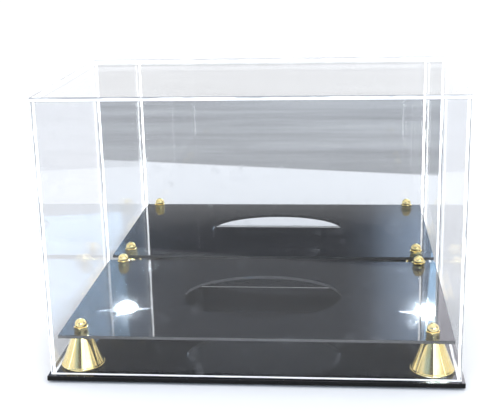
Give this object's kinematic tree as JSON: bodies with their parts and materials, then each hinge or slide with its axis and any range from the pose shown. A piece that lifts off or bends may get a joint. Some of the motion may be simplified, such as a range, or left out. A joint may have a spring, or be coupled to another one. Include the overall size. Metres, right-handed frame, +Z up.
{
  "type": "football display case",
  "caption": "Clear box cover with a mirrored back over a black base; a raised glossy platform on gold risers holds one football.",
  "frame": {"origin": "middle of the footprint, on the surface that the case stands on", "axes": "+Z up, +X along the long side to the viewer's right, +Y from the clear front to the mirrored back"},
  "size_m": [0.31, 0.201, 0.216],
  "materials": {
    "black_acrylic": "polished black acrylic sheet",
    "clear_acrylic": "clear acrylic sheet with polished edges",
    "mirror_acrylic": "acrylic mirror sheet, painted behind",
    "polished_gold": "polished gold plate",
    "zinc_steel": "zinc-plated steel",
    "clear_rubber": "clear soft bumper"
  },
  "bodies": {
    "stand": {"base_plate": "black_acrylic", "display_platform": "black_acrylic", "bumper_foot_front_left": "clear_rubber", "riser_front_left": "polished_gold", "screw_front_left": "zinc_steel", "washer_front_left": "polished_gold", "cap_nut_front_left": "polished_gold", "bumper_foot_front_right": "clear_rubber", "riser_front_right": "polished_gold", "screw_front_right": "zinc_steel", "washer_front_right": "polished_gold", "cap_nut_front_right": "polished_gold", "bumper_foot_back_left": "clear_rubber", "riser_back_left": "polished_gold", "screw_back_left": "zinc_steel", "washer_back_left": "polished_gold", "cap_nut_back_left": "polished_gold", "bumper_foot_back_right": "clear_rubber", "riser_back_right": "polished_gold", "screw_back_right": "zinc_steel", "washer_back_right": "polished_gold", "cap_nut_back_right": "polished_gold"},
    "cover": {"front_panel": "clear_acrylic", "left_panel": "clear_acrylic", "right_panel": "clear_acrylic", "top_panel": "clear_acrylic", "mirror_panel": "mirror_acrylic"}
  },
  "joints": [
    {"name": "cover_lift", "type": "slide", "parent": "stand", "child": "cover", "axis": [0, 0, 1], "range_m": [0, 0.24]}
  ]
}
